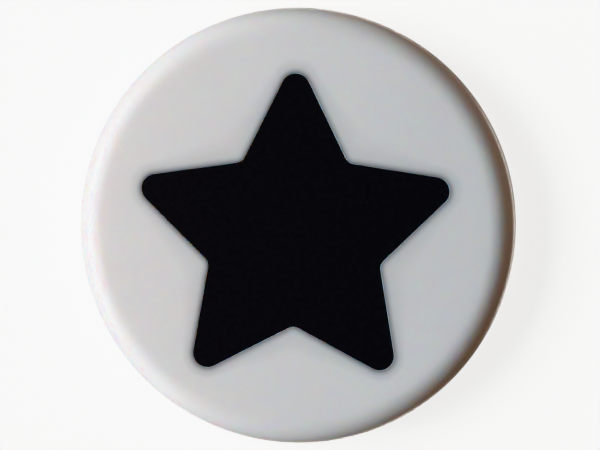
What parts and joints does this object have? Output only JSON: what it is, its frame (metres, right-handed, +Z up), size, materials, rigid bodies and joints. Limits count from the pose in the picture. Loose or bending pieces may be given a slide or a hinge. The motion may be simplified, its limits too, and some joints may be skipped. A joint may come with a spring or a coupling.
{
  "type": "dealer button",
  "caption": "Round white puck with a rounded rim and a black star inlaid flush in each face, marking the dealer's place at a card table.",
  "frame": {"origin": "centre of the face that the puck rests on", "axes": "+Z up through the puck's thickness to the face that shows, +Y towards the stars' top point, +X to the right of the star"},
  "size_m": [0.05, 0.05, 0.01],
  "materials": {
    "white_plastic": "smooth satin-gloss moulded plastic, slightly translucent at the rim",
    "black_inlay": "satin black hard resin"
  },
  "bodies": {
    "root": {"puck_body": "white_plastic", "top_star_inlay": "black_inlay", "bottom_star_inlay": "black_inlay"}
  },
  "joints": []
}
